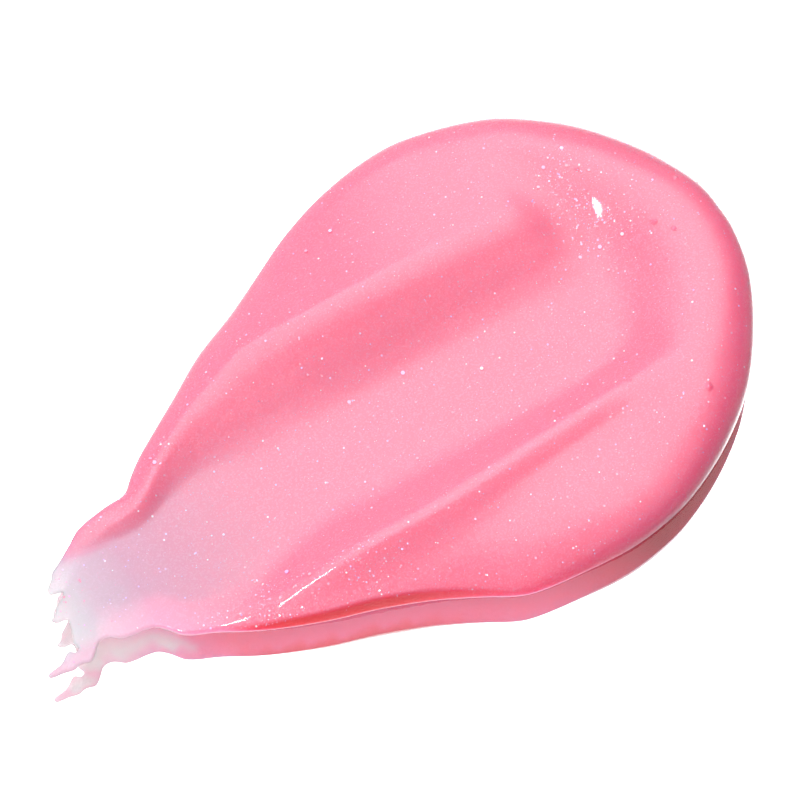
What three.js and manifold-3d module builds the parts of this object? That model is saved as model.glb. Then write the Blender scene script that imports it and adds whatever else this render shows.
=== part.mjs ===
// Lip gloss smear: a drop-shaped smear of pearly gel, with separate glitter flakes on its skin.
//
// Millimetres, +Z up. The gel lies on the plane z = 0. +X runs along the stroke, from the thin ragged
// tail (-X) to the thick rounded head (+X). The origin is under the middle of the bounding box.

import * as THREE from "three";
import { mergeVertices } from "three/addons/utils/BufferGeometryUtils.js";
import Module from "manifold-3d";

const wasm = await Module();
wasm.setup();

// ---------------------------------------------------------------- driving dimensions

const FILM = 0.1;               // thickness of the film at the end of the tail
const FLOOR_THICKNESS = 1.15;   // gel left in the trough at the head
const UPPER_BANK_HEIGHT = 2.45; // the bank on the +Y side, where it is full
const LOWER_BANK_HEIGHT = 2.15; // the bank on the -Y side, where it is full
const RIM_HEIGHT = 2.5;         // the raised rim round the head

const TROUGH_UPPER_FOOT = -0.2; // Y where the trough floor meets the upper bank
const UPPER_WALL_WIDTH = 5.7;   // from the foot of the upper bank to its crest, where it is full
const TAIL_WALL_WIDTH = 1.1;    // the same at the tail
const UPPER_OUTWARD_SLOPE = 0.23; // share of the upper bank's height lost for each mm outside its crest
const HEAD_OUTWARD_SLOPE = 0.11; // the same beside the head
const FOOT_BULGE = 0.7;         // how far the foot bends outwards where the trough leaves the tail

const RIDGE_LINE = -7.1;        // Y of the lower bank's ridge in the middle of the stroke
const RIDGE_HEAD_SHIFT = 1.15;  // how far the ridge line bends inwards at the head
const RIDGE_TAIL_SHIFT = 2.4;   // how far it bends inwards at the tail
const LOWER_WALL_WIDTH = 4.0;   // from the trough floor to the ridge, where the lower bank is full
const LOWER_HEAD_WIDTH = 2.8;   // the same at the head
const LOWER_TAIL_WIDTH = 1.6;   // the same at the tail
const TERRACE_SLOPE = 0.14;     // share of the lower bank's height lost for each mm of its terrace
const TERRACE_START = 1;        // how far below the ridge the terrace starts to fall

const RIM_CREST = 2.6;          // distance of the rim's crest from the edge of the gel
const RIM_BROADENING = 1.9;     // how much further in the crest lies on the -Y side
const BOWL_FOOT = 8.0;          // distance of the foot of the bowl's wall from the edge

const BEAD_ASPECT = 1.15;       // width of the rounded edge over the thickness behind it
const LOWER_BEAD_ASPECT = 2.2;  // the same on the -Y side
const HEAD_BEAD_ASPECT = 1.45;  // the same on the -Y side of the head
const LEAST_BEAD = 0.2;         // the narrowest rounded edge, on the film
const EDGE_SHARE = 0.3;         // share of the thickness that stands upright at the very edge

const GRID_STEP = 0.6;          // spacing of the top surface's grid
const OUTLINE_STEPS = 3;        // straight stretches between two outline points
const BLANK_DEPTH = 1;          // how far the uncut blanks run past the faces they are cut to
const BLANK_HEIGHT = 5;

const FLAKE_COUNT = 24;
const FLAKE_RADIUS = 0.09;      // across the corners, of the middling flake
const FLAKE_SPREAD = 0.25;      // how much larger or smaller a flake may be, as a share
const FLAKE_THICKNESS = 0.03;
const FLAKE_GAP = 0.03;         // hair gap between a flake and the skin under it
const GOLDEN_ANGLE = Math.PI * (3 - Math.sqrt(5));

// X between which each shape builds up, from nothing to its full size.
const FLOOR_RISE = [-18, 14];
const UPPER_BANK_RISE = [-21, 4];
const LOWER_BANK_RISE = [-14.5, -3.5];
const UPPER_WALL_WIDENING = [-14, -4];
const LOWER_WALL_WIDENING = [-15, -3];
const LOWER_WALL_NARROWING = [0, 10];
const OUTWARD_SLOPE_EASING = [-2, 9];
const FOOT_BULGE_RISE = [-13.5, -10.5];
const FOOT_BULGE_FALL = [-9.5, -6];
const RIDGE_HEAD_BEND = [-3, 13];
const RIDGE_TAIL_BEND = [-17, -9];
const TERRACE_FADE = [1, 8];
const BOWL_OPENING = [8.5, 14.5];
const UPPER_BANK_FADE = [10.5, 15];
const LOWER_BANK_FADE = [12, 15.5];
const HEAD_BEAD_RANGE = [10, 15];

// Y between which the -Y side's wider rim and wider rounded edge give way to the +Y side's.
const RIM_NARROWING = [-9, -4];
const BEAD_NARROWING = [-8, -3];

// Edge of the gel where it meets the surface, counter-clockwise from the head's +Y side.
const HEAD_AND_UPPER_EDGE = [
  [20.8, 0.5], [20.8, 2.0], [20.5, 3.5], [19.8, 5.2], [18.6, 7.1], [17.2, 8.8], [15.6, 10.2],
  [13.2, 11.7], [9.0, 12.85], [6.6, 12.8], [3.4, 12.05], [0.7, 10.9], [-1.6, 9.55], [-3.9, 8.2],
  [-6.4, 6.95], [-8.6, 5.45], [-10.4, 4.25], [-11.7, 3.35], [-12.5, 2.65], [-13.2, 2.0], [-14.3, 1.85],
  [-16.0, 1.45],
];
const RAGGED_TAIL_EDGE = [
  [-16.8, 0.9], [-17.7, 0.3], [-18.2, 0.0], [-18.4, -0.3], [-18.8, -0.7], [-18.8, -1.0],
  [-18.5, -1.1], [-18.2, -1.2], [-18.5, -1.5], [-18.9, -1.8], [-19.1, -2.1], [-19.4, -2.2],
  [-19.2, -2.5], [-18.7, -2.6], [-18.8, -3.3], [-19.0, -3.8], [-18.9, -4.2], [-19.1, -4.3],
  [-19.4, -4.1], [-20.0, -4.5], [-20.8, -4.7],
];
const STRAND_AND_LOWER_EDGE = [
  [-20.8, -4.9], [-20.1, -5.0], [-19.6, -5.1], [-19.2, -5.0], [-18.7, -5.1], [-18.3, -4.8],
  [-17.9, -4.4], [-17.4, -4.4], [-16.8, -4.8], [-15.3, -5.0], [-14.8, -5.4], [-14.2, -6.1],
  [-12.7, -6.8], [-11.4, -7.5], [-10.2, -8.05], [-7.75, -8.95], [-5.45, -9.6], [-2.95, -10.5],
  [-0.85, -11.5], [0.95, -12.45], [1.9, -12.7], [4.2, -12.9], [7.1, -12.95], [9.7, -12.5],
  [11.4, -11.9], [13.9, -10.55], [16.5, -8.5], [18.5, -6.0], [20.1, -3.1], [20.75, -0.6],
];

// Sections of the banks as shares of their height. The upper one runs from the foot to the crest as
// shares of the wall's width; the lower one runs in wall widths above its ridge, then mm below it.
const UPPER_BANK_SECTION = [
  [0, 0], [0.15, 0.045], [0.35, 0.24], [0.6, 0.6], [0.85, 0.925], [0.95, 0.99], [1, 1],
];
const LOWER_WALL_SECTION = [[-1, 0], [-0.8, 0.045], [-0.55, 0.21], [-0.3, 0.51], [-0.1, 0.78], [0, 0.82]];
const LOWER_TERRACE_SECTION = [[0, 0.82], [0.5, 0.73], [1, 0.6], [1.5, 0.55], [3, 0.53], [7, 0.5]];

// ---------------------------------------------------------------- small helpers

// Smooth rise from 0 to 1 over a range.
function rise([from, to], value) {
  return THREE.MathUtils.smoothstep(value, from, to);
}

function outlinePoints() {
  const corners = [...HEAD_AND_UPPER_EDGE, ...RAGGED_TAIL_EDGE, ...STRAND_AND_LOWER_EDGE];
  const curve = new THREE.CatmullRomCurve3(
    corners.map(([x, y]) => new THREE.Vector3(x, y, 0)), true, "centripetal");
  const points = curve.getPoints(corners.length * OUTLINE_STEPS);
  points.pop();
  return points.map((point) => new THREE.Vector2(point.x, point.y));
}

function distanceToSegment(x, y, start, end) {
  const alongX = end.x - start.x;
  const alongY = end.y - start.y;
  const share = ((x - start.x) * alongX + (y - start.y) * alongY) / (alongX ** 2 + alongY ** 2);
  const nearest = THREE.MathUtils.clamp(share, 0, 1);
  return Math.hypot(x - start.x - nearest * alongX, y - start.y - nearest * alongY);
}

// How far inside the edge a place lies, and 0 for a place outside it.
function distanceToEdge(x, y, outline) {
  let least = Infinity;
  let inside = false;
  outline.forEach((start, index) => {
    const end = outline[(index + 1) % outline.length];
    least = Math.min(least, distanceToSegment(x, y, start, end));
    const crossesRow = (start.y > y) !== (end.y > y);
    if (crossesRow && x < start.x + ((end.x - start.x) * (y - start.y)) / (end.y - start.y)) {
      inside = !inside;
    }
  });
  return inside ? least : 0;
}

// Slope of the smooth line at a section's inner point, from the points on both sides.
function sectionSlope(section, index) {
  if (index === 0 || index === section.length - 1) {
    return 0;
  }
  const before = section[index][0] - section[index - 1][0];
  const after = section[index + 1][0] - section[index][0];
  const fall = (section[index][1] - section[index - 1][1]) / before;
  const rise = (section[index + 1][1] - section[index][1]) / after;
  return (fall * after + rise * before) / (before + after);
}

// Smooth line through the section's points, level past both ends.
function sectionShare(section, position) {
  const at = THREE.MathUtils.clamp(position, section[0][0], section[section.length - 1][0]);
  const index = section.findIndex(([place], number) => number > 0 && at <= place) - 1;
  const [startAt, startShare] = section[index];
  const [endAt, endShare] = section[index + 1];
  const width = endAt - startAt;
  const part = (at - startAt) / width;
  const rest = 1 - part;
  const bend = sectionSlope(section, index) * rest - sectionSlope(section, index + 1) * part;
  return startShare * (1 + 2 * part) * rest ** 2 + endShare * (1 + 2 * rest) * part ** 2
    + width * part * rest * bend;
}

// ---------------------------------------------------------------- thickness of the gel

function upperBankShare(x, y) {
  const width = THREE.MathUtils.lerp(TAIL_WALL_WIDTH, UPPER_WALL_WIDTH, rise(UPPER_WALL_WIDENING, x));
  const slope = THREE.MathUtils.lerp(UPPER_OUTWARD_SLOPE, HEAD_OUTWARD_SLOPE, rise(OUTWARD_SLOPE_EASING, x));
  const bulge = FOOT_BULGE * rise(FOOT_BULGE_RISE, x) * (1 - rise(FOOT_BULGE_FALL, x));
  const beyondFoot = y - TROUGH_UPPER_FOOT - bulge;
  return sectionShare(UPPER_BANK_SECTION, beyondFoot / width) - slope * Math.max(beyondFoot - width, 0);
}

function lowerBankShare(x, y) {
  const ridge = RIDGE_LINE + RIDGE_HEAD_SHIFT * rise(RIDGE_HEAD_BEND, x)
    + RIDGE_TAIL_SHIFT * (1 - rise(RIDGE_TAIL_BEND, x));
  const tailToMiddle = THREE.MathUtils.lerp(LOWER_TAIL_WIDTH, LOWER_WALL_WIDTH, rise(LOWER_WALL_WIDENING, x));
  const width = tailToMiddle + (LOWER_HEAD_WIDTH - LOWER_WALL_WIDTH) * rise(LOWER_WALL_NARROWING, x);
  const below = ridge - y;
  if (below < 0) {
    return sectionShare(LOWER_WALL_SECTION, below / width);
  }
  const fall = TERRACE_SLOPE * (1 - rise(TERRACE_FADE, x)) * Math.max(below - TERRACE_START, 0);
  return Math.max(sectionShare(LOWER_TERRACE_SECTION, below) - fall, 0);
}

// Share of the bowl's rim in the thickness: the wall rises from its foot to the rim's crest.
function bowlShare(x, y, fromEdge) {
  const crest = RIM_CREST + RIM_BROADENING * (1 - rise(RIM_NARROWING, y));
  return (1 - rise([crest, BOWL_FOOT], fromEdge)) * rise(BOWL_OPENING, x);
}

// Thickness before the edge is rounded off. The banks build up from the tail and die out in the bowl.
function bodyThickness(x, y, fromEdge) {
  const floor = FILM + (FLOOR_THICKNESS - FILM) * rise(FLOOR_RISE, x);
  const upperTop = Math.max(floor, UPPER_BANK_HEIGHT * rise(UPPER_BANK_RISE, x));
  const lowerTop = Math.max(floor, LOWER_BANK_HEIGHT * rise(LOWER_BANK_RISE, x));
  const upper = upperBankShare(x, y) * (upperTop - floor) * (1 - rise(UPPER_BANK_FADE, x));
  const lower = lowerBankShare(x, y) * (lowerTop - floor) * (1 - rise(LOWER_BANK_FADE, x));
  return THREE.MathUtils.lerp(floor + upper + lower, RIM_HEIGHT, bowlShare(x, y, fromEdge));
}

function gelThickness(x, y, outline) {
  const fromEdge = distanceToEdge(x, y, outline);
  const body = bodyThickness(x, y, fromEdge);
  const lowerAspect = THREE.MathUtils.lerp(LOWER_BEAD_ASPECT, HEAD_BEAD_ASPECT, rise(HEAD_BEAD_RANGE, x));
  const aspect = THREE.MathUtils.lerp(lowerAspect, BEAD_ASPECT, rise(BEAD_NARROWING, y));
  const beadWidth = Math.max(LEAST_BEAD, aspect * body);
  const outward = 1 - Math.min(fromEdge / beadWidth, 1);
  const roundness = Math.sqrt(1 - outward ** 2);
  return body * (EDGE_SHARE + (1 - EDGE_SHARE) * roundness);
}

// ---------------------------------------------------------------- solids

function solidFromGeometry(geometry) {
  const positionOnly = geometry.index ? geometry.toNonIndexed() : geometry.clone();
  positionOnly.deleteAttribute("normal");
  positionOnly.deleteAttribute("uv");
  const merged = mergeVertices(positionOnly, 1e-5);
  return new wasm.Manifold(new wasm.Mesh({
    numProp: 3,
    vertProperties: new Float32Array(merged.attributes.position.array),
    triVerts: new Uint32Array(merged.index.array),
  }));
}

function geometryFromSolid(solid) {
  const mesh = solid.getMesh();
  const geometry = new THREE.BufferGeometry();
  geometry.setAttribute("position", new THREE.BufferAttribute(mesh.vertProperties, 3));
  geometry.setIndex(new THREE.BufferAttribute(mesh.triVerts, 1));
  geometry.computeVertexNormals();
  return geometry;
}

// A box with a fine grid on top, its top points lifted to the gel's thickness.
function terrainBlank(outline) {
  const bounds = new THREE.Box2().setFromPoints(outline).expandByScalar(BLANK_DEPTH);
  const size = bounds.getSize(new THREE.Vector2());
  const middle = bounds.getCenter(new THREE.Vector2());
  const columns = Math.round(size.x / GRID_STEP);
  const rows = Math.round(size.y / GRID_STEP);
  const blank = new THREE.BoxGeometry(size.x, size.y, BLANK_DEPTH, columns, rows, 1);
  blank.translate(middle.x, middle.y, -BLANK_DEPTH / 2);
  const position = blank.attributes.position;
  for (let index = 0; index < position.count; index += 1) {
    if (position.getZ(index) > -BLANK_DEPTH / 2) {
      position.setZ(index, gelThickness(position.getX(index), position.getY(index), outline));
    }
  }
  return blank;
}

function gelGeometry(outline) {
  const cutter = new THREE.ExtrudeGeometry(
    new THREE.Shape(outline), { depth: BLANK_HEIGHT, bevelEnabled: false, steps: 1 });
  return geometryFromSolid(solidFromGeometry(terrainBlank(outline)).intersect(solidFromGeometry(cutter)));
}

// ---------------------------------------------------------------- glitter flakes

// Middle, reach and number of flakes of each bright cluster.
const FLAKE_CLUSTERS = [
  { x: 14.3, y: 6.2, reach: 1.6, count: 6 },
  { x: 14.2, y: 1.2, reach: 1.5, count: 4 },
  { x: -8.6, y: -6.6, reach: 1.1, count: 4 },
  { x: -11.0, y: 2.2, reach: 0.6, count: 2 },
  { x: 2.2, y: 9.0, reach: 1.3, count: 2 },
  { x: 2.0, y: -1.6, reach: 4.5, count: 6 },
];

function flakePlaces() {
  const places = [];
  FLAKE_CLUSTERS.forEach(({ x, y, reach, count }) => {
    for (let index = 0; index < count; index += 1) {
      const radius = reach * Math.sqrt((index + 0.5) / count);
      const angle = places.length * GOLDEN_ANGLE;
      places.push({ x: x + radius * Math.cos(angle), y: y + radius * Math.sin(angle) });
    }
  });
  return places.slice(0, FLAKE_COUNT);
}

function skinNormal(x, y, outline) {
  const reach = GRID_STEP / 2;
  const slopeX = (gelThickness(x + reach, y, outline) - gelThickness(x - reach, y, outline)) / GRID_STEP;
  const slopeY = (gelThickness(x, y + reach, outline) - gelThickness(x, y - reach, outline)) / GRID_STEP;
  return new THREE.Vector3(-slopeX, -slopeY, 1).normalize();
}

// Height of the highest point of the faceted skin within reach of a place.
function skinTop(x, y, gel) {
  const ray = new THREE.Raycaster(new THREE.Vector3(x, y, BLANK_HEIGHT), new THREE.Vector3(0, 0, -1));
  return ray.intersectObject(gel)[0].point.z;
}

function flakeMesh(index, place, outline, gel, material) {
  const size = FLAKE_RADIUS * (1 + FLAKE_SPREAD * Math.sin(index * GOLDEN_ANGLE));
  const plate = new THREE.CylinderGeometry(size, size, FLAKE_THICKNESS, 6);
  plate.rotateX(Math.PI / 2);
  const flake = new THREE.Mesh(plate, material);
  flake.name = `glitter_flake_${String(index + 1).padStart(2, "0")}`;
  const normal = skinNormal(place.x, place.y, outline);
  const lift = FLAKE_GAP + FLAKE_THICKNESS / 2;
  flake.quaternion.setFromUnitVectors(new THREE.Vector3(0, 0, 1), normal);
  flake.position.set(place.x, place.y, skinTop(place.x, place.y, gel)).addScaledVector(normal, lift);
  return flake;
}

// ---------------------------------------------------------------- the smear

const gelMaterial = new THREE.MeshStandardMaterial({ color: 0xfb8fab, roughness: 0.12, metalness: 0 });
const flakeMaterial = new THREE.MeshStandardMaterial({ color: 0xf3e6ff, roughness: 0.15, metalness: 0.9 });

const outline = outlinePoints();
const gloss = new THREE.Mesh(gelGeometry(outline), gelMaterial);
gloss.name = "gloss_body";
gloss.updateMatrixWorld();

const smear = new THREE.Group();
smear.add(gloss);
flakePlaces().forEach((place, index) => {
  smear.add(flakeMesh(index, place, outline, gloss, flakeMaterial));
});

// The box's middle is put on the origin, whatever the edge curve adds between its points.
const box = new THREE.Box3().setFromObject(gloss);
smear.position.set(-(box.min.x + box.max.x) / 2, -(box.min.y + box.max.y) / 2, 0);

export default smear;
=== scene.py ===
"""Lip gloss smear: the looks of a pearly pink gel smear with glitter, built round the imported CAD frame.

The stroke runs along +X, from the ragged tail to the rounded head. Lengths are worked out in
millimetres in the frame's own axes and turned into metres when a mesh is made.
"""

import math

import bmesh
import bpy
import numpy as np
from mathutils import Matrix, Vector, geometry, kdtree


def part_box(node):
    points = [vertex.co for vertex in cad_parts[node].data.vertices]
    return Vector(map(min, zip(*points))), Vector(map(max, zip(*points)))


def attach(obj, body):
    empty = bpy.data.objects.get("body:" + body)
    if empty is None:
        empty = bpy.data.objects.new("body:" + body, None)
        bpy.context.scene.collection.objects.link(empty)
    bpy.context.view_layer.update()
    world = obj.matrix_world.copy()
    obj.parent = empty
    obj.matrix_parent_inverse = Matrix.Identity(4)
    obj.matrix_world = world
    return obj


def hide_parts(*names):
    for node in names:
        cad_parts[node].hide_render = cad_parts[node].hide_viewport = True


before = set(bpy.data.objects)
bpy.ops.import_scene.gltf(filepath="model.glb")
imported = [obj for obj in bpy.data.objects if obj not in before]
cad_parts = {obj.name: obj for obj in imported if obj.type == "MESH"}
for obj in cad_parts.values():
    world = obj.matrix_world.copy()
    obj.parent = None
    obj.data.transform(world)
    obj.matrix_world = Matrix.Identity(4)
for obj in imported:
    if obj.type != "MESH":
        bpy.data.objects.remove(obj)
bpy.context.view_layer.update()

MM = 0.001
GEL_NODE = "gloss_body"
GEL_LOW, GEL_HIGH = (np.array(corner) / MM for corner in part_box(GEL_NODE))

# ---------------------------------------------------------------- dimensions of the gel, mm

FILM = 0.10                  # thickness of the film at the end of the tail
FLOOR_THICKNESS = 1.15       # gel left in the trough at the head
UPPER_BANK_HEIGHT = 2.45     # the bank on the +Y side, where it is full
LOWER_BANK_HEIGHT = 2.15     # the bank on the -Y side, where it is full
RIM_HEIGHT = 2.5             # the raised rim round the head

TROUGH_UPPER_FOOT = -0.2     # Y where the trough floor meets the upper bank
UPPER_WALL_WIDTH = 5.7       # from the foot of the upper bank to its crest, where it is full
TAIL_WALL_WIDTH = 1.1        # the same at the tail
FOOT_BULGE = 0.7             # how far the foot bends outwards where the trough leaves the tail
UPPER_OUTWARD_SLOPE = 0.23   # share of the upper bank's height lost for each mm outside its crest
HEAD_OUTWARD_SLOPE = 0.11    # the same beside the head

RIDGE_LINE = -7.1            # Y of the lower bank's ridge in the middle of the stroke
RIDGE_HEAD_SHIFT = 1.15      # how far the ridge line bends inwards at the head
RIDGE_TAIL_SHIFT = 2.4       # how far it bends inwards at the tail
LOWER_WALL_WIDTH = 4.0       # from the trough floor to the ridge, where the lower bank is full
LOWER_HEAD_WIDTH = 2.8       # the same at the head
LOWER_TAIL_WIDTH = 1.6       # the same at the tail
TERRACE_SLOPE = 0.12         # share of the lower bank's height lost for each mm of its terrace
TERRACE_START = 1.0          # how far below the ridge the terrace starts to fall

RIM_CREST = 2.6              # distance of the rim's crest from the edge of the gel
RIM_BROADENING = 1.9         # how much further in the crest lies on the -Y side
BOWL_FOOT = 8.0              # distance of the foot of the bowl's wall from the edge

BEAD_ASPECT = 1.15           # width of the rounded edge over the thickness behind it
LOWER_BEAD_ASPECT = 2.2      # the same on the -Y side
HEAD_BEAD_ASPECT = 1.45      # the same on the -Y side of the head
LEAST_BEAD = 0.2             # the narrowest rounded edge, on the film
ELLIPSE = 2                  # power of a rounded edge that is a quarter of an ellipse
HEAD_FULLNESS = 2.8          # power of the fuller edge on the -Y side of the head
WALL_SHARE = 0.8             # share of the thickness that stands up steeply along the -Y edge
WALL_WIDTH = 0.22            # how far the steep side leans inwards
WALL_CURVE = 0.7             # power of the steep side's rise, where 1 is straight

# X between which each shape builds up, widens, narrows or dies out.
FLOOR_RISE = (-18, 14)
UPPER_BANK_RISE = (-21, 4)
LOWER_BANK_RISE = (-14.5, -3.5)
UPPER_WALL_WIDENING = (-14, -4)
LOWER_WALL_WIDENING = (-15, -3)
LOWER_WALL_NARROWING = (0, 10)
OUTWARD_SLOPE_EASING = (-2, 9)
FOOT_BULGE_RISE = (-13.5, -10.5)
FOOT_BULGE_FALL = (-9.5, -6)
RIDGE_HEAD_BEND = (-3, 13)
RIDGE_TAIL_BEND = (-17, -9)
TERRACE_FADE = (0, 7)
BOWL_OPENING = (8.5, 14.5)
UPPER_BANK_FADE = (10.5, 15)
LOWER_BANK_FADE = (12, 15.5)
HEAD_BEAD_RANGE = (10, 15)
HEAD_FULLNESS_RISE = (2, 9)
WALL_RISE = (-13, -9.5)
WALL_FALL = (-5, 2)

# Y between which the -Y side's rim, bead and full edge give way to the +Y side's.
RIM_NARROWING = (-9, -4)
BEAD_NARROWING = (-8, -3)
FULLNESS_FALL = (0, 5)

# Sections of the banks as shares of their height. The upper one runs from the foot to the crest as
# shares of the wall's width; the lower one runs in wall widths above its ridge, then mm below it.
UPPER_BANK_SECTION = ((0, 0), (0.15, 0.045), (0.35, 0.24), (0.6, 0.6), (0.85, 0.925), (0.95, 0.99), (1, 1))
LOWER_WALL_SECTION = ((-1, 0), (-0.8, 0.045), (-0.55, 0.21), (-0.3, 0.51), (-0.1, 0.78), (0, 0.82))
LOWER_TERRACE_SECTION = ((0, 0.82), (0.5, 0.73), (1.0, 0.6), (1.5, 0.55), (3.0, 0.53), (7.0, 0.5))

# Air bubbles that lift the skin: X, Y and radius.
BUBBLES = ((16.9, 1.2, 0.2), (17.5, 0.3, 0.16), (15.1, 5.8, 0.15), (19.3, 2.9, 0.14),
           (14.2, -8.2, 0.24), (16.3, -0.9, 0.13), (7.0, -5.7, 0.15), (11.1, -5.8, 0.14))
BUBBLE_LIFT = 0.5            # height of the dome over its radius
BUBBLE_DOME = 1.5            # power of the dome's section

# ---------------------------------------------------------------- how thick the gel looks

END_THINNING = 0.3           # how much thinner the film looks at the tail's end, as a share
END_FILM = (-19.3, -16.6)    # X between which it thins out
END_STRAND = (-4.6, -3.6)    # Y between which the thicker strand gives way to the thin part
END_BANK = (-0.6, 0.8)       # Y between which the thin part gives way to the thicker bank
BORDER_THINNING = 0.62       # how much thinner the film's border looks from below, as a share
BORDER_FILM = (-14.2, -12.4) # X between which that dies out towards the head
BORDER_DEPTH = (0.4, 1.8)    # distance from the edge over which it dies out
SHADE_DEPTH = (0.16, 0.26)   # distance from the edge over which the painted shade on the steep side ends

# ---------------------------------------------------------------- mesh density, mm

EDGE_PARTS = 6               # points for each stretch of the CAD's edge, before they are evened out
EDGE_SPACING = 0.12
EDGE_RINGS = (0.008, 0.03, 0.07, 0.13, 0.22, 0.34)
RING_SHARE = 0.9             # share of its depth that a ring's point must really have
INNER_SPACING = 0.17
INNER_MARGIN = 0.4           # least gap between the rings and the grid, over the grid's spacing
UNDERSIDE_SPACING = 0.6
UNDERSIDE_MARGIN = 0.5       # least gap between the edge and the underside's grid, the same way
BUBBLE_RINGS = (0.3, 0.6, 0.85, 1.05)
BUBBLE_SPOKES = 10
WELD_DISTANCE = 0.001        # corners of the CAD's mesh closer than this are one
FACING_DOWN = -0.99          # Z of a face's normal below which the face is part of the underside
TRIANGLES_INSIDE = 1         # the triangulator's mode that keeps only what lies inside the edge
PLAN_TOLERANCE = 1e-6


def rise(span, value):
    """A smooth step: 0 before the span, 1 after it."""
    low, high = span
    share = np.clip((value - low) / (high - low), 0, 1)
    return share * share * (3 - 2 * share)


def fall(span, value):
    """A smooth step: 1 before the span, 0 after it."""
    return 1 - rise(span, value)


# ---------------------------------------------------------------- outline of the gel

def faces_down(face):
    return face.normal.z < FACING_DOWN


def underside_loop(node):
    """The edge of the node's flat underside as an ordered loop of XY points in millimetres."""
    mesh = bmesh.new()
    mesh.from_mesh(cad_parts[node].data)
    bmesh.ops.remove_doubles(mesh, verts=mesh.verts, dist=WELD_DISTANCE * MM)
    following = {}
    for face in filter(faces_down, mesh.faces):
        for corner in face.loops:
            if not all(map(faces_down, corner.edge.link_faces)):
                following[corner.vert] = corner.link_loop_next.vert
    loop = [next(iter(following))]
    while following[loop[-1]] is not loop[0]:
        loop.append(following[loop[-1]])
    points = np.array([vert.co.xy for vert in reversed(loop)]) / MM
    mesh.free()
    return points


def smooth_closed(points, parts):
    """A closed Catmull-Rom curve through the points, with this many parts between two of them."""
    before, after, beyond = (np.roll(points, shift, 0) for shift in (1, -1, -2))
    rows = []
    for share in np.arange(parts) / parts:
        rows.append(0.5 * (2 * points + (after - before) * share
                           + (2 * before - 5 * points + 4 * after - beyond) * share ** 2
                           + (3 * points - before - 3 * after + beyond) * share ** 3))
    return np.stack(rows, 1).reshape(-1, 2)


def evenly_spaced(points, spacing):
    """The closed line resampled at about this spacing."""
    closed = np.vstack([points, points[:1]])
    travelled = np.concatenate([[0], np.cumsum(np.linalg.norm(np.diff(closed, axis=0), axis=1))])
    stops = np.linspace(0, travelled[-1], int(travelled[-1] / spacing), endpoint=False)
    return np.stack([np.interp(stops, travelled, closed[:, axis]) for axis in (0, 1)], 1)


def unit_rows(vectors):
    return vectors / np.linalg.norm(vectors, axis=1, keepdims=True)


def inward_normals(points):
    along = np.roll(points, -1, 0) - np.roll(points, 1, 0)
    return unit_rows(np.stack([-along[:, 1], along[:, 0]], 1))


def signed_distances(places, outline):
    """How far inside the outline each place is, and a negative number for a place outside it."""
    tree = kdtree.KDTree(len(outline))
    for index, point in enumerate(outline):
        tree.insert((point[0], point[1], 0), index)
    tree.balance()
    nearest = np.array([tree.find((x, y, 0))[1] for x, y in places])
    least = np.full(len(places), np.inf)
    for shift in (-1, 0):
        start = outline[(nearest + shift) % len(outline)]
        along = outline[(nearest + shift + 1) % len(outline)] - start
        share = np.clip(((places - start) * along).sum(1) / (along * along).sum(1), 0, 1)
        gap = np.linalg.norm(places - start - share[:, None] * along, axis=1)
        least = np.minimum(least, gap)
    inside = np.zeros(len(places), bool)
    for start, end in zip(outline, np.roll(outline, -1, 0)):
        if start[1] == end[1]:
            continue
        crosses = (start[1] > places[:, 1]) != (end[1] > places[:, 1])
        at = start[0] + (end[0] - start[0]) * (places[:, 1] - start[1]) / (end[1] - start[1])
        inside ^= crosses & (places[:, 0] < at)
    return np.where(inside, least, -least)


def depths_inside(places, outline):
    """How far inside the outline each place is, and 0 for a place outside it."""
    return np.maximum(signed_distances(places, outline), 0)


# ---------------------------------------------------------------- thickness of the gel

def section_share(section, position):
    """Smooth line through the section's points, level past both ends."""
    places, shares = np.array(section, float).T
    slopes = np.gradient(shares, places)
    slopes[0] = slopes[-1] = 0
    at = np.clip(position, places[0], places[-1])
    index = np.clip(np.searchsorted(places, at) - 1, 0, len(places) - 2)
    width = places[index + 1] - places[index]
    part = (at - places[index]) / width
    rest = 1 - part
    return (shares[index] * (1 + 2 * part) * rest ** 2 + shares[index + 1] * (1 + 2 * rest) * part ** 2
            + width * part * rest * (slopes[index] * rest - slopes[index + 1] * part))


def upper_bank_share(x, y):
    width = TAIL_WALL_WIDTH + (UPPER_WALL_WIDTH - TAIL_WALL_WIDTH) * rise(UPPER_WALL_WIDENING, x)
    slope = UPPER_OUTWARD_SLOPE + (HEAD_OUTWARD_SLOPE - UPPER_OUTWARD_SLOPE) * rise(OUTWARD_SLOPE_EASING, x)
    foot = TROUGH_UPPER_FOOT + FOOT_BULGE * rise(FOOT_BULGE_RISE, x) * fall(FOOT_BULGE_FALL, x)
    outside = np.maximum(y - foot - width, 0)
    return section_share(UPPER_BANK_SECTION, (y - foot) / width) - slope * outside


def lower_bank_share(x, y):
    ridge = (RIDGE_LINE + RIDGE_HEAD_SHIFT * rise(RIDGE_HEAD_BEND, x)
             + RIDGE_TAIL_SHIFT * fall(RIDGE_TAIL_BEND, x))
    width = (LOWER_TAIL_WIDTH + (LOWER_WALL_WIDTH - LOWER_TAIL_WIDTH) * rise(LOWER_WALL_WIDENING, x)
             + (LOWER_HEAD_WIDTH - LOWER_WALL_WIDTH) * rise(LOWER_WALL_NARROWING, x))
    below = ridge - y
    lost = TERRACE_SLOPE * fall(TERRACE_FADE, x) * np.maximum(below - TERRACE_START, 0)
    return np.where(below < 0, section_share(LOWER_WALL_SECTION, below / width),
                    np.maximum(section_share(LOWER_TERRACE_SECTION, below) - lost, 0))


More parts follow.
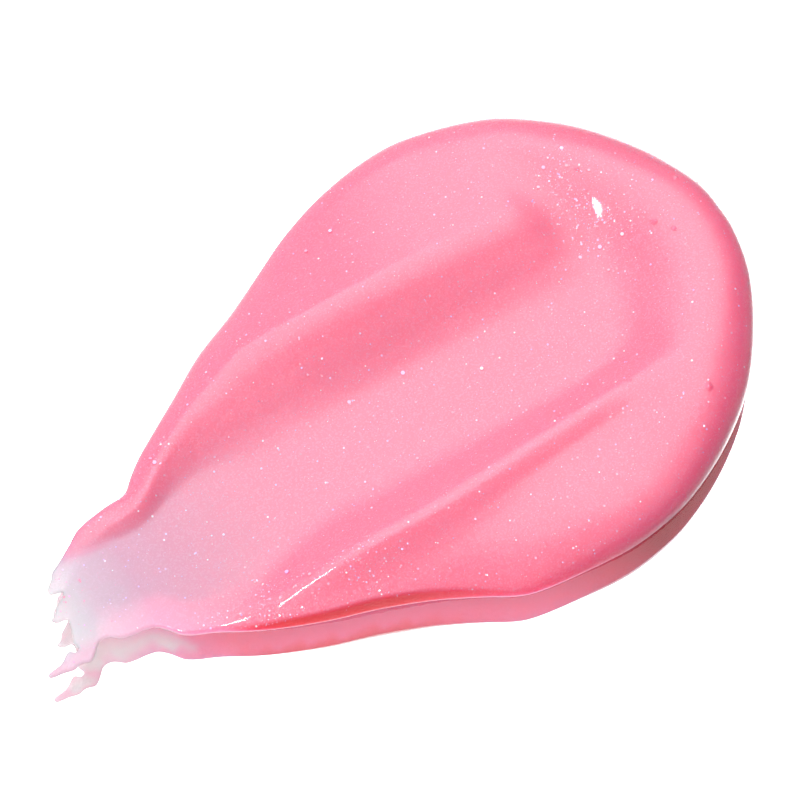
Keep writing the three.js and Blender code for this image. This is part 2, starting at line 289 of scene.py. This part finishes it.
def body_thickness(x, y, from_edge):
    """Thickness before the edge is rounded off."""
    floor = FILM + (FLOOR_THICKNESS - FILM) * rise(FLOOR_RISE, x)
    upper_top = np.maximum(floor, UPPER_BANK_HEIGHT * rise(UPPER_BANK_RISE, x))
    lower_top = np.maximum(floor, LOWER_BANK_HEIGHT * rise(LOWER_BANK_RISE, x))
    upper = upper_bank_share(x, y) * (upper_top - floor) * fall(UPPER_BANK_FADE, x)
    lower = lower_bank_share(x, y) * (lower_top - floor) * fall(LOWER_BANK_FADE, x)
    crest = RIM_CREST + RIM_BROADENING * fall(RIM_NARROWING, y)
    bowl = fall((crest, BOWL_FOOT), from_edge) * rise(BOWL_OPENING, x)
    return (floor + upper + lower) * (1 - bowl) + RIM_HEIGHT * bowl


def bubble_lift(x, y):
    lift = np.zeros(np.shape(x))
    for middle_x, middle_y, radius in BUBBLES:
        share = np.hypot(x - middle_x, y - middle_y) / radius
        lift += BUBBLE_LIFT * radius * np.maximum(1 - share ** 2, 0) ** BUBBLE_DOME
    return lift


def steep_side(x, y):
    """1 where the edge stands up as a steep side, 0 where it is only rounded."""
    return rise(WALL_RISE, x) * fall(WALL_FALL, x) * (y < 0)


def gel_thickness(x, y, from_edge):
    body = body_thickness(x, y, from_edge)
    lower_aspect = LOWER_BEAD_ASPECT + (HEAD_BEAD_ASPECT - LOWER_BEAD_ASPECT) * rise(HEAD_BEAD_RANGE, x)
    aspect = BEAD_ASPECT + (lower_aspect - BEAD_ASPECT) * fall(BEAD_NARROWING, y)
    bead_width = np.maximum(LEAST_BEAD, aspect * body)
    outward = 1 - np.clip(from_edge / bead_width, 0, 1)
    fullness = ELLIPSE + (HEAD_FULLNESS - ELLIPSE) * rise(HEAD_FULLNESS_RISE, x) * fall(FULLNESS_FALL, y)
    rounded = (1 - outward ** fullness) ** (1 / fullness)
    wall = WALL_SHARE * steep_side(x, y)
    wall_height = np.clip(from_edge / WALL_WIDTH, 0, 1) ** WALL_CURVE
    return body * (wall * wall_height + (1 - wall) * rounded) + bubble_lift(x, y)


# ---------------------------------------------------------------- meshes

def new_mesh_object(name, points, faces, smooth=True):
    mesh = bpy.data.meshes.new(name)
    mesh.from_pydata([tuple(point) for point in np.asarray(points) * MM], [], faces)
    mesh.update()
    mesh.polygons.foreach_set("use_smooth", [smooth] * len(mesh.polygons))
    piece = bpy.data.objects.new(name, mesh)
    bpy.context.scene.collection.objects.link(piece)
    return piece


def add_numbers(mesh, name, values):
    """A number for each point of the mesh, which a material can read by this name."""
    numbers = mesh.attributes.new(name, "FLOAT", "POINT")
    numbers.data.foreach_set("value", np.asarray(values, np.float32))


def inner_grid(edge, spacing, least_depth):
    """Places of a triangular grid that lie at least this deep inside the edge."""
    row_step = spacing * math.sqrt(3) / 2
    rows = np.arange(GEL_LOW[1], GEL_HIGH[1], row_step)
    columns = np.arange(GEL_LOW[0], GEL_HIGH[0], spacing)
    grid = np.array([(x + (row % 2) * spacing / 2, y) for row, y in enumerate(rows) for x in columns])
    return grid[signed_distances(grid, edge) > least_depth]


def edge_rings(edge):
    """Places close behind the edge, where the skin turns most."""
    inward = inward_normals(edge)
    rings = []
    for depth in EDGE_RINGS:
        places = edge + inward * depth
        rings.append(places[signed_distances(places, edge) > RING_SHARE * depth])
    return np.vstack(rings)


def bubble_places():
    places = []
    for x, y, radius in BUBBLES:
        places.append((x, y))
        for share in BUBBLE_RINGS:
            for spoke in range(BUBBLE_SPOKES):
                angle = 2 * math.pi * spoke / BUBBLE_SPOKES
                places.append((x + share * radius * math.cos(angle), y + share * radius * math.sin(angle)))
    return np.array(places)


def triangulated(edge, inner):
    """Triangles over the edge loop and the places inside it. The edge's points come first."""
    count = len(edge)
    loop = [(index, (index + 1) % count) for index in range(count)]
    corners = [Vector(place) for place in np.vstack([edge, inner])]
    result = geometry.delaunay_2d_cdt(corners, loop, [], TRIANGLES_INSIDE, PLAN_TOLERANCE)
    points, _, triangles, _, _, _ = result
    return np.array([tuple(point) for point in points]), [tuple(triangle) for triangle in triangles]


def shown_thickness(x, y, from_edge):
    """Thickness that the gel's colour and cover follow."""
    thin_part = fall(END_FILM, x) * rise(END_STRAND, y) * fall(END_BANK, y)
    return body_thickness(x, y, from_edge) * (1 - END_THINNING * thin_part)


def thickness_from_below(x, y, from_edge):
    border = fall(BORDER_DEPTH, from_edge) * fall(BORDER_FILM, x)
    return shown_thickness(x, y, from_edge) * (1 - BORDER_THINNING * border)


def make_gel():
    """The gel's skin and flat underside as one closed mesh, which share the points of the edge."""
    edge = evenly_spaced(smooth_closed(underside_loop(GEL_NODE), EDGE_PARTS), EDGE_SPACING)
    count = len(edge)
    grid = inner_grid(edge, INNER_SPACING, EDGE_RINGS[-1] + INNER_MARGIN * INNER_SPACING)
    plan, upper = triangulated(edge, np.vstack([edge_rings(edge), bubble_places(), grid]))
    depth = depths_inside(plan, edge)
    depth[:count] = 0
    skin = np.column_stack([plan, gel_thickness(*plan.T, depth)])

    under_grid = inner_grid(edge, UNDERSIDE_SPACING, UNDERSIDE_MARGIN * UNDERSIDE_SPACING)
    under_plan, under = triangulated(edge, under_grid)
    under_plan = under_plan[count:]
    under_depth = depths_inside(under_plan, edge)
    flat = np.zeros(len(under_plan))
    shift = len(skin) - count
    lower = [tuple(index if index < count else index + shift for index in reversed(triangle))
             for triangle in under]

    gel = new_mesh_object("gel_skin", np.vstack([skin, np.column_stack([under_plan, flat])]), upper + lower)
    for side in gel.data.edges:
        if side.vertices[0] < count and side.vertices[1] < count:
            side.use_edge_sharp = True
    above = shown_thickness(*plan.T, depth)
    below = thickness_from_below(*under_plan.T, under_depth)
    add_numbers(gel.data, "thickness", np.concatenate([above, below]))
    # painted shade: the steep side under the lip is darkened in colour, standing in for its shadow
    shade = steep_side(*plan.T) * fall(SHADE_DEPTH, depth)
    add_numbers(gel.data, "side_shade", np.concatenate([shade, flat]))
    return gel, edge


# ---------------------------------------------------------------- glitter, mm

GLITTER_SEED = 11
FLAKE_COUNT = 5200           # flakes tried over the whole box; those off the gel are left out
# Denser groups: X, Y, reach and flakes tried.
FLAKE_CLUSTERS = ((14.6, 3.4, 2.6, 420), (14.2, 6.3, 1.4, 110), (-9.8, -7.0, 2.2, 260),
                  (-5.2, -7.8, 2.0, 200), (-12.6, -6.2, 1.4, 100), (-10.5, 2.7, 0.9, 40))
FLAKE_MARGIN = 0.12          # least distance of a flake's middle from the edge of the gel
SMALL_FLAKE = 0.018          # radius across the corners
LARGE_FLAKE = 0.065
FLAKE_RARITY = 4             # power that makes large flakes rare
FLAKE_THICKNESS = 0.012
FLAKE_TILT = math.radians(9)
FLAKE_CORNERS = 6
SLOPE_REACH = 0.05           # how far to each side the skin's slope is measured


def flake_places(edge, random):
    wide = random.uniform(GEL_LOW[:2], GEL_HIGH[:2], (FLAKE_COUNT, 2))
    groups = [wide]
    for x, y, reach, count in FLAKE_CLUSTERS:
        groups.append(random.normal((x, y), reach / 2, (count, 2)))
    places = np.vstack(groups)
    return places[signed_distances(places, edge) > FLAKE_MARGIN]


def skin_frames(places, edge):
    """Height of the skin and its normal at each place."""
    reach = SLOPE_REACH
    heights = []
    for step in ((0, 0), (reach, 0), (-reach, 0), (0, reach), (0, -reach)):
        moved = places + step
        heights.append(gel_thickness(*moved.T, depths_inside(moved, edge)))
    height, right, left, far, near = heights
    return height, unit_rows(np.column_stack([left - right, near - far, np.full(len(places), 2 * reach)]))


def flake_faces(first):
    """Faces of one six-sided plate whose points start at this index, the lower ring first."""
    bottom = [first + corner for corner in range(FLAKE_CORNERS)]
    top = [corner + FLAKE_CORNERS for corner in bottom]
    faces = [tuple(reversed(bottom)), tuple(top)]
    for corner in range(FLAKE_CORNERS):
        following = (corner + 1) % FLAKE_CORNERS
        faces.append((bottom[corner], bottom[following], top[following], top[corner]))
    return faces


def make_glitter(edge):
    random = np.random.default_rng(GLITTER_SEED)
    places = flake_places(edge, random)
    height, normals = skin_frames(places, edge)
    count = len(places)
    radius = SMALL_FLAKE + (LARGE_FLAKE - SMALL_FLAKE) * random.random(count) ** FLAKE_RARITY
    normals = unit_rows(normals + random.normal(0, math.tan(FLAKE_TILT), (count, 3)))
    across = unit_rows(np.cross(normals, random.normal(0, 1, (count, 3))))
    beside = np.cross(normals, across)
    middle = np.column_stack([places, height]) + normals * FLAKE_THICKNESS
    rings = []
    for side in (-0.5, 0.5):
        for corner in range(FLAKE_CORNERS):
            angle = 2 * math.pi * corner / FLAKE_CORNERS
            reach = across * math.cos(angle) + beside * math.sin(angle)
            rings.append(middle + radius[:, None] * reach + side * FLAKE_THICKNESS * normals)
    points = np.stack(rings, 1).reshape(-1, 3)
    faces = [face for first in range(0, len(points), len(rings)) for face in flake_faces(first)]
    glitter = new_mesh_object("fine_glitter", points, faces, smooth=False)
    add_numbers(glitter.data, "tint", np.repeat(random.random(count), len(rings)))
    return glitter


# ---------------------------------------------------------------- materials

# Colour and cover of the gel by its thickness in mm.
GEL_COLOURS = ((0.05, (0.84, 0.72, 0.76)), (0.10, (0.76, 0.39, 0.49)), (0.13, (0.80, 0.25, 0.375)),
               (0.18, (0.87, 0.21, 0.34)), (0.28, (0.96, 0.19, 0.32)), (0.45, (1.0, 0.172, 0.307)),
               (0.90, (1.0, 0.163, 0.293)))
GEL_COVER = ((0.05, 0.7), (0.10, 0.88), (0.14, 0.97), (0.22, 1.0))
PAINTED_SIDE_SHADE = (0.8, 0.05, 0.08, 1)    # painted shade: the deep red of the steep side in shadow under the lip
GEL_SURFACE = {"Roughness": 0.3, "IOR": 1.58, "Subsurface Weight": 1, "Subsurface Radius": (1.6, 0.4, 0.5),
               "Subsurface Scale": 1.0 * MM, "Coat Weight": 1, "Coat Roughness": 0.04}
GRAIN_SIZE = 0.07            # across one grain of the pearl, mm
GRAIN_TILT = 0.22            # how far a grain tilts the pearl's normal
GRAIN_MIDDLE = (0.5, 0.5, 0.5)        # middle of the grains' random colours
# pale grains: partly the pearl's own paler tone, partly a painted glint of its shimmer
PALE_TONE_AND_GLINT = (1, 0.55, 0.85, 1)
PALE_GLINT_START = 0.55      # random number of a grain above which it turns pale, partly its own tone and partly a painted glint
PALE_GLINT_SHARE = 0.12      # how far the palest grain turns

# Colour of a flake by a random number from 0 to 1.
FLAKE_TINTS = ((0.0, (1, 0.3, 0.45)), (0.5, (1, 0.4, 0.62)), (0.8, (0.85, 0.45, 0.9)), (1.0, (1, 0.85, 0.95)))
FLAKE_SURFACE = {"Roughness": 0.2, "IOR": 2.3}


def new_material(name, surface):
    """A material with these values set on its shader, and what is needed to add nodes to it."""
    material = bpy.data.materials.new(name)
    material.use_nodes = True
    nodes = material.node_tree.nodes
    shader = nodes["Principled BSDF"]
    for socket, value in surface.items():
        shader.inputs[socket].default_value = value
    return material, nodes, material.node_tree.links, shader


def number(nodes, name):
    """The number that each point of the mesh carries under this name."""
    attribute = nodes.new("ShaderNodeAttribute")
    attribute.attribute_name = name
    return attribute.outputs["Fac"]


def ramp(nodes, links, source, stops):
    """Colours or numbers by a value from 0 to 1."""
    colours = nodes.new("ShaderNodeValToRGB")
    elements = colours.color_ramp.elements
    while len(elements) < len(stops):
        elements.new(1)
    for element, (place, value) in zip(elements, stops):
        element.position = place
        element.color = (*value, 1) if isinstance(value, tuple) else (value, value, value, 1)
    links.new(source, colours.inputs["Fac"])
    return colours.outputs["Color"]


def mixed(nodes, links, share, base, other):
    """The base colour turned towards the other one by the share."""
    mix = nodes.new("ShaderNodeMix")
    mix.data_type = "RGBA"
    mix.inputs["B"].default_value = other
    links.new(share, mix.inputs["Factor"])
    links.new(base, mix.inputs["A"])
    return mix.outputs["Result"]


def pearl_grain(nodes, links):
    """A random colour for each tiny grain of the pearl."""
    place = nodes.new("ShaderNodeTexCoord")
    grain = nodes.new("ShaderNodeTexVoronoi")
    grain.inputs["Scale"].default_value = 1 / (GRAIN_SIZE * MM)
    links.new(place.outputs["Object"], grain.inputs["Vector"])
    return grain.outputs["Color"]


def pale_glint_share(nodes, links, grain):
    """How far each grain turns pale, partly its own tone and partly a painted glint."""
    parts = nodes.new("ShaderNodeSeparateColor")
    links.new(grain, parts.inputs["Color"])
    share = nodes.new("ShaderNodeMapRange")
    share.inputs["From Min"].default_value = PALE_GLINT_START
    share.inputs["To Max"].default_value = PALE_GLINT_SHARE
    links.new(parts.outputs["Red"], share.inputs["Value"])
    return share.outputs["Result"]


def vector_node(nodes, operation):
    node = nodes.new("ShaderNodeVectorMath")
    node.operation = operation
    return node


def tilted_normal(nodes, links, grain):
    """The skin's normal, tilted at random for each grain."""
    centred = vector_node(nodes, "SUBTRACT")
    centred.inputs[1].default_value = GRAIN_MIDDLE
    links.new(grain, centred.inputs[0])
    scaled = vector_node(nodes, "SCALE")
    scaled.inputs["Scale"].default_value = GRAIN_TILT
    links.new(centred.outputs["Vector"], scaled.inputs[0])
    skin = nodes.new("ShaderNodeNewGeometry")
    total = vector_node(nodes, "ADD")
    links.new(skin.outputs["Normal"], total.inputs[0])
    links.new(scaled.outputs["Vector"], total.inputs[1])
    unit = vector_node(nodes, "NORMALIZE")
    links.new(total.outputs["Vector"], unit.inputs[0])
    return unit.outputs["Vector"]


def gel_material():
    material, nodes, links, shader = new_material("gel", GEL_SURFACE)
    thickness = number(nodes, "thickness")
    body = ramp(nodes, links, thickness, GEL_COLOURS)
    grain = pearl_grain(nodes, links)
    # the base colour with pale grains, partly a painted glint
    pearly_with_glint = mixed(nodes, links, pale_glint_share(nodes, links, grain), body, PALE_TONE_AND_GLINT)
    # the steep side's painted shade mixed into the base colour
    shaded = mixed(nodes, links, number(nodes, "side_shade"), pearly_with_glint, PAINTED_SIDE_SHADE)
    links.new(shaded, shader.inputs["Base Color"])
    links.new(ramp(nodes, links, thickness, GEL_COVER), shader.inputs["Alpha"])
    links.new(tilted_normal(nodes, links, grain), shader.inputs["Normal"])
    return material


def flake_material(name):
    """Pearl flake: pale pink to lavender, with a tint of its own for each flake."""
    material, nodes, links, shader = new_material(name, FLAKE_SURFACE)
    links.new(ramp(nodes, links, number(nodes, "tint"), FLAKE_TINTS), shader.inputs["Base Color"])
    return material


# ---------------------------------------------------------------- camera

CAMERA_AZIMUTH = math.radians(-30)
CAMERA_ELEVATION = math.radians(62)
CAMERA_TARGET = (1.25, -0.16, 0)      # the middle of the view, mm
VIEW_WIDTH = 40              # across the view at that place, mm
LENS, SENSOR = 150, 36       # mm
NEAREST_SEEN, FURTHEST_SEEN = 0.01, 10    # metres


def make_camera():
    back = Vector((math.sin(CAMERA_AZIMUTH) * math.cos(CAMERA_ELEVATION),
                   -math.cos(CAMERA_AZIMUTH) * math.cos(CAMERA_ELEVATION), math.sin(CAMERA_ELEVATION)))
    data = bpy.data.cameras.new("camera")
    data.lens = LENS
    data.sensor_width = SENSOR
    data.clip_start = NEAREST_SEEN
    data.clip_end = FURTHEST_SEEN
    camera = bpy.data.objects.new("camera", data)
    camera.location = Vector(CAMERA_TARGET) * MM + back * (VIEW_WIDTH * MM * LENS / SENSOR)
    camera.rotation_euler = (-back).to_track_quat("-Z", "Y").to_euler()
    bpy.context.scene.collection.objects.link(camera)
    bpy.context.scene.camera = camera


# ---------------------------------------------------------------- light

SKY_TOWARDS = (-0.5, 0.45, 0.74)      # the middle of the sky's wide bright side
SKY_ANGLES = (54, 113)       # degrees from there between which it dims
SKY_STRENGTHS = (0.02, 1.0)  # dimmest and brightest
SOFTBOX_TOWARDS = (0.235, 0.407, 0.883)    # where a level skin mirrors the camera's view
SOFTBOX_ANGLES = (3, 38)
SOFTBOX_STRENGTHS = (0, 1.85)
KEY_TOWARDS = (-0.252, 0.046, 0.966)       # gives the one sharp highlight in the bowl
KEY_DISTANCE = 400           # from the origin, mm
KEY_SIZE = (30, 55)          # mm
KEY_POWER = 0.165            # watts


def sky_lobe(nodes, links, direction, angles, strengths):
    """A smooth bright spot in the sky: the stronger value towards the direction."""
    place = nodes.new("ShaderNodeTexCoord")
    dot = vector_node(nodes, "DOT_PRODUCT")
    dot.inputs[1].default_value = Vector(direction).normalized()
    links.new(place.outputs["Generated"], dot.inputs[0])
    nearest, widest = (math.cos(math.radians(angle)) for angle in angles)
    weakest, strongest = strengths
    spread = nodes.new("ShaderNodeMapRange")
    spread.interpolation_type = "SMOOTHSTEP"
    spread.inputs["From Min"].default_value = widest
    spread.inputs["From Max"].default_value = nearest
    spread.inputs["To Min"].default_value = weakest
    spread.inputs["To Max"].default_value = strongest
    links.new(dot.outputs["Value"], spread.inputs["Value"])
    return spread.outputs["Result"]


def make_sky():
    world = bpy.data.worlds.new("studio")
    bpy.context.scene.world = world
    world.use_nodes = True
    nodes, links = world.node_tree.nodes, world.node_tree.links
    total = nodes.new("ShaderNodeMath")
    links.new(sky_lobe(nodes, links, SKY_TOWARDS, SKY_ANGLES, SKY_STRENGTHS), total.inputs[0])
    links.new(sky_lobe(nodes, links, SOFTBOX_TOWARDS, SOFTBOX_ANGLES, SOFTBOX_STRENGTHS), total.inputs[1])
    links.new(total.outputs["Value"], nodes["Background"].inputs["Strength"])
    nodes["Background"].inputs["Color"].default_value = (1, 1, 1, 1)


def make_key_light():
    data = bpy.data.lights.new("key", "AREA")
    data.shape = "RECTANGLE"
    data.size, data.size_y = (side * MM for side in KEY_SIZE)
    data.energy = KEY_POWER
    lamp = bpy.data.objects.new("key", data)
    direction = Vector(KEY_TOWARDS).normalized()
    lamp.location = direction * KEY_DISTANCE * MM
    lamp.rotation_euler = direction.to_track_quat("Z", "Y").to_euler()
    bpy.context.scene.collection.objects.link(lamp)


# ---------------------------------------------------------------- stage, mm

STAGE_SIZE = 1200
PLATE_DEPTH = 2.3            # from the gel down to the mirror under the clear plate
PLATE_FACE = 0.01            # hair gap between the gel and the plate's face
MIRROR_SURFACE = {"Base Color": (1, 1, 1, 1), "Metallic": 1, "Roughness": 0.02}
PLATE_SURFACE = {"Transmission Weight": 1, "Roughness": 0, "IOR": 1.49}

GLOW_DEPTH = 0.15            # how far under the gel the light in the plate lies
GLOW_SLANT = (0.5, 0.866)    # the way that light slants in under the gel's near edge
GLOW_OUTSIDE = 0.2           # how far outside the edge it starts
GLOW_REACH = 1.8             # how far in under the edge it reaches
GLOW_FALL = 0.5              # share of the light left at that reach
# Colour of the light by X: at the tail's end, along the lower bank and under the head.
GLOW_COLOURS = ((-19, (0.95, 1.0, 0.95)), (-13, (1.3, 1.4, 1.35)), (-9, (1.5, 1.7, 1.7)),
                (2, (1.5, 1.6, 1.6)), (6, (0.95, 0.55, 0.6)), (9, (0.35, 0.1, 0.12)))


def emissive_sheet(name, points, faces):
    """A flat sheet that shines with the colour of its attribute named glow."""
    sheet = new_mesh_object(name, points, faces, smooth=False)
    material = bpy.data.materials.new(name)
    material.use_nodes = True
    nodes, links = material.node_tree.nodes, material.node_tree.links
    nodes.clear()
    glow = nodes.new("ShaderNodeAttribute")
    glow.attribute_name = "glow"
    shine = nodes.new("ShaderNodeEmission")
    out = nodes.new("ShaderNodeOutputMaterial")
    links.new(glow.outputs["Color"], shine.inputs["Color"])
    links.new(shine.outputs["Emission"], out.inputs["Surface"])
    sheet.data.materials.append(material)
    return sheet


def set_glow(sheet, colours):
    glow = sheet.data.attributes.new("glow", "FLOAT_COLOR", "POINT")
    opaque = np.column_stack([colours, np.ones(len(colours))])
    glow.data.foreach_set("color", opaque.astype(np.float32).ravel())


def make_plate_glow(edge):
    """Light in the plate that falls on the gel's underside along its near edge."""
    slant = np.array(GLOW_SLANT)
    near = inward_normals(edge) @ slant > 0
    level = np.full((len(edge), 1), -GLOW_DEPTH)
    outer = np.hstack([edge - GLOW_OUTSIDE * slant, level])
    inner = np.hstack([edge + GLOW_REACH * slant, level])
    following = (np.arange(len(edge)) + 1) % len(edge)
    faces = [(index, after, after + len(edge), index + len(edge))
             for index, after in enumerate(following) if near[index] and near[after]]
    sheet = emissive_sheet("plate_glow", np.vstack([outer, inner]), faces)
    places = [place for place, _ in GLOW_COLOURS]
    channels = zip(*(colour for _, colour in GLOW_COLOURS))
    colours = np.stack([np.interp(edge[:, 0], places, channel) for channel in channels], 1)
    set_glow(sheet, np.vstack([colours, GLOW_FALL * colours]))
    sheet.visible_camera = False
    sheet.visible_glossy = False
    sheet.visible_transmission = False
    sheet.visible_shadow = False


def stage_plane(name, depth, surface):
    """A wide level plane this far under the gel."""
    bpy.ops.mesh.primitive_plane_add(size=STAGE_SIZE * MM, location=(0, 0, -depth * MM))
    plane = bpy.context.object
    plane.name = name
    material, _, _, _ = new_material(name, surface)
    plane.data.materials.append(material)
    return plane


def make_stage():
    mirror = stage_plane("mirror", PLATE_DEPTH, MIRROR_SURFACE)
    glass = stage_plane("plate_face", PLATE_FACE, PLATE_SURFACE)
    glass.visible_shadow = False
    glass.visible_diffuse = False


# ---------------------------------------------------------------- the scene

TINT_STEP = 0.618            # step between two flakes' tints, which spreads them evenly

make_camera()
make_stage()
make_sky()
make_key_light()

gel, gel_edge = make_gel()
make_plate_glow(gel_edge)
gel.data.materials.append(gel_material())
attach(gel, "root")
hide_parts(GEL_NODE)

glitter = make_glitter(gel_edge)
glitter.data.materials.append(flake_material("fine_flake"))
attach(glitter, "root")

large_flake = flake_material("large_flake")
flake_nodes = [node for name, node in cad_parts.items() if name != GEL_NODE]
for index, node in enumerate(flake_nodes):
    add_numbers(node.data, "tint", [(index * TINT_STEP) % 1] * len(node.data.vertices))
    node.data.materials.clear()
    node.data.materials.append(large_flake)

bpy.context.scene.view_settings.view_transform = "Standard"
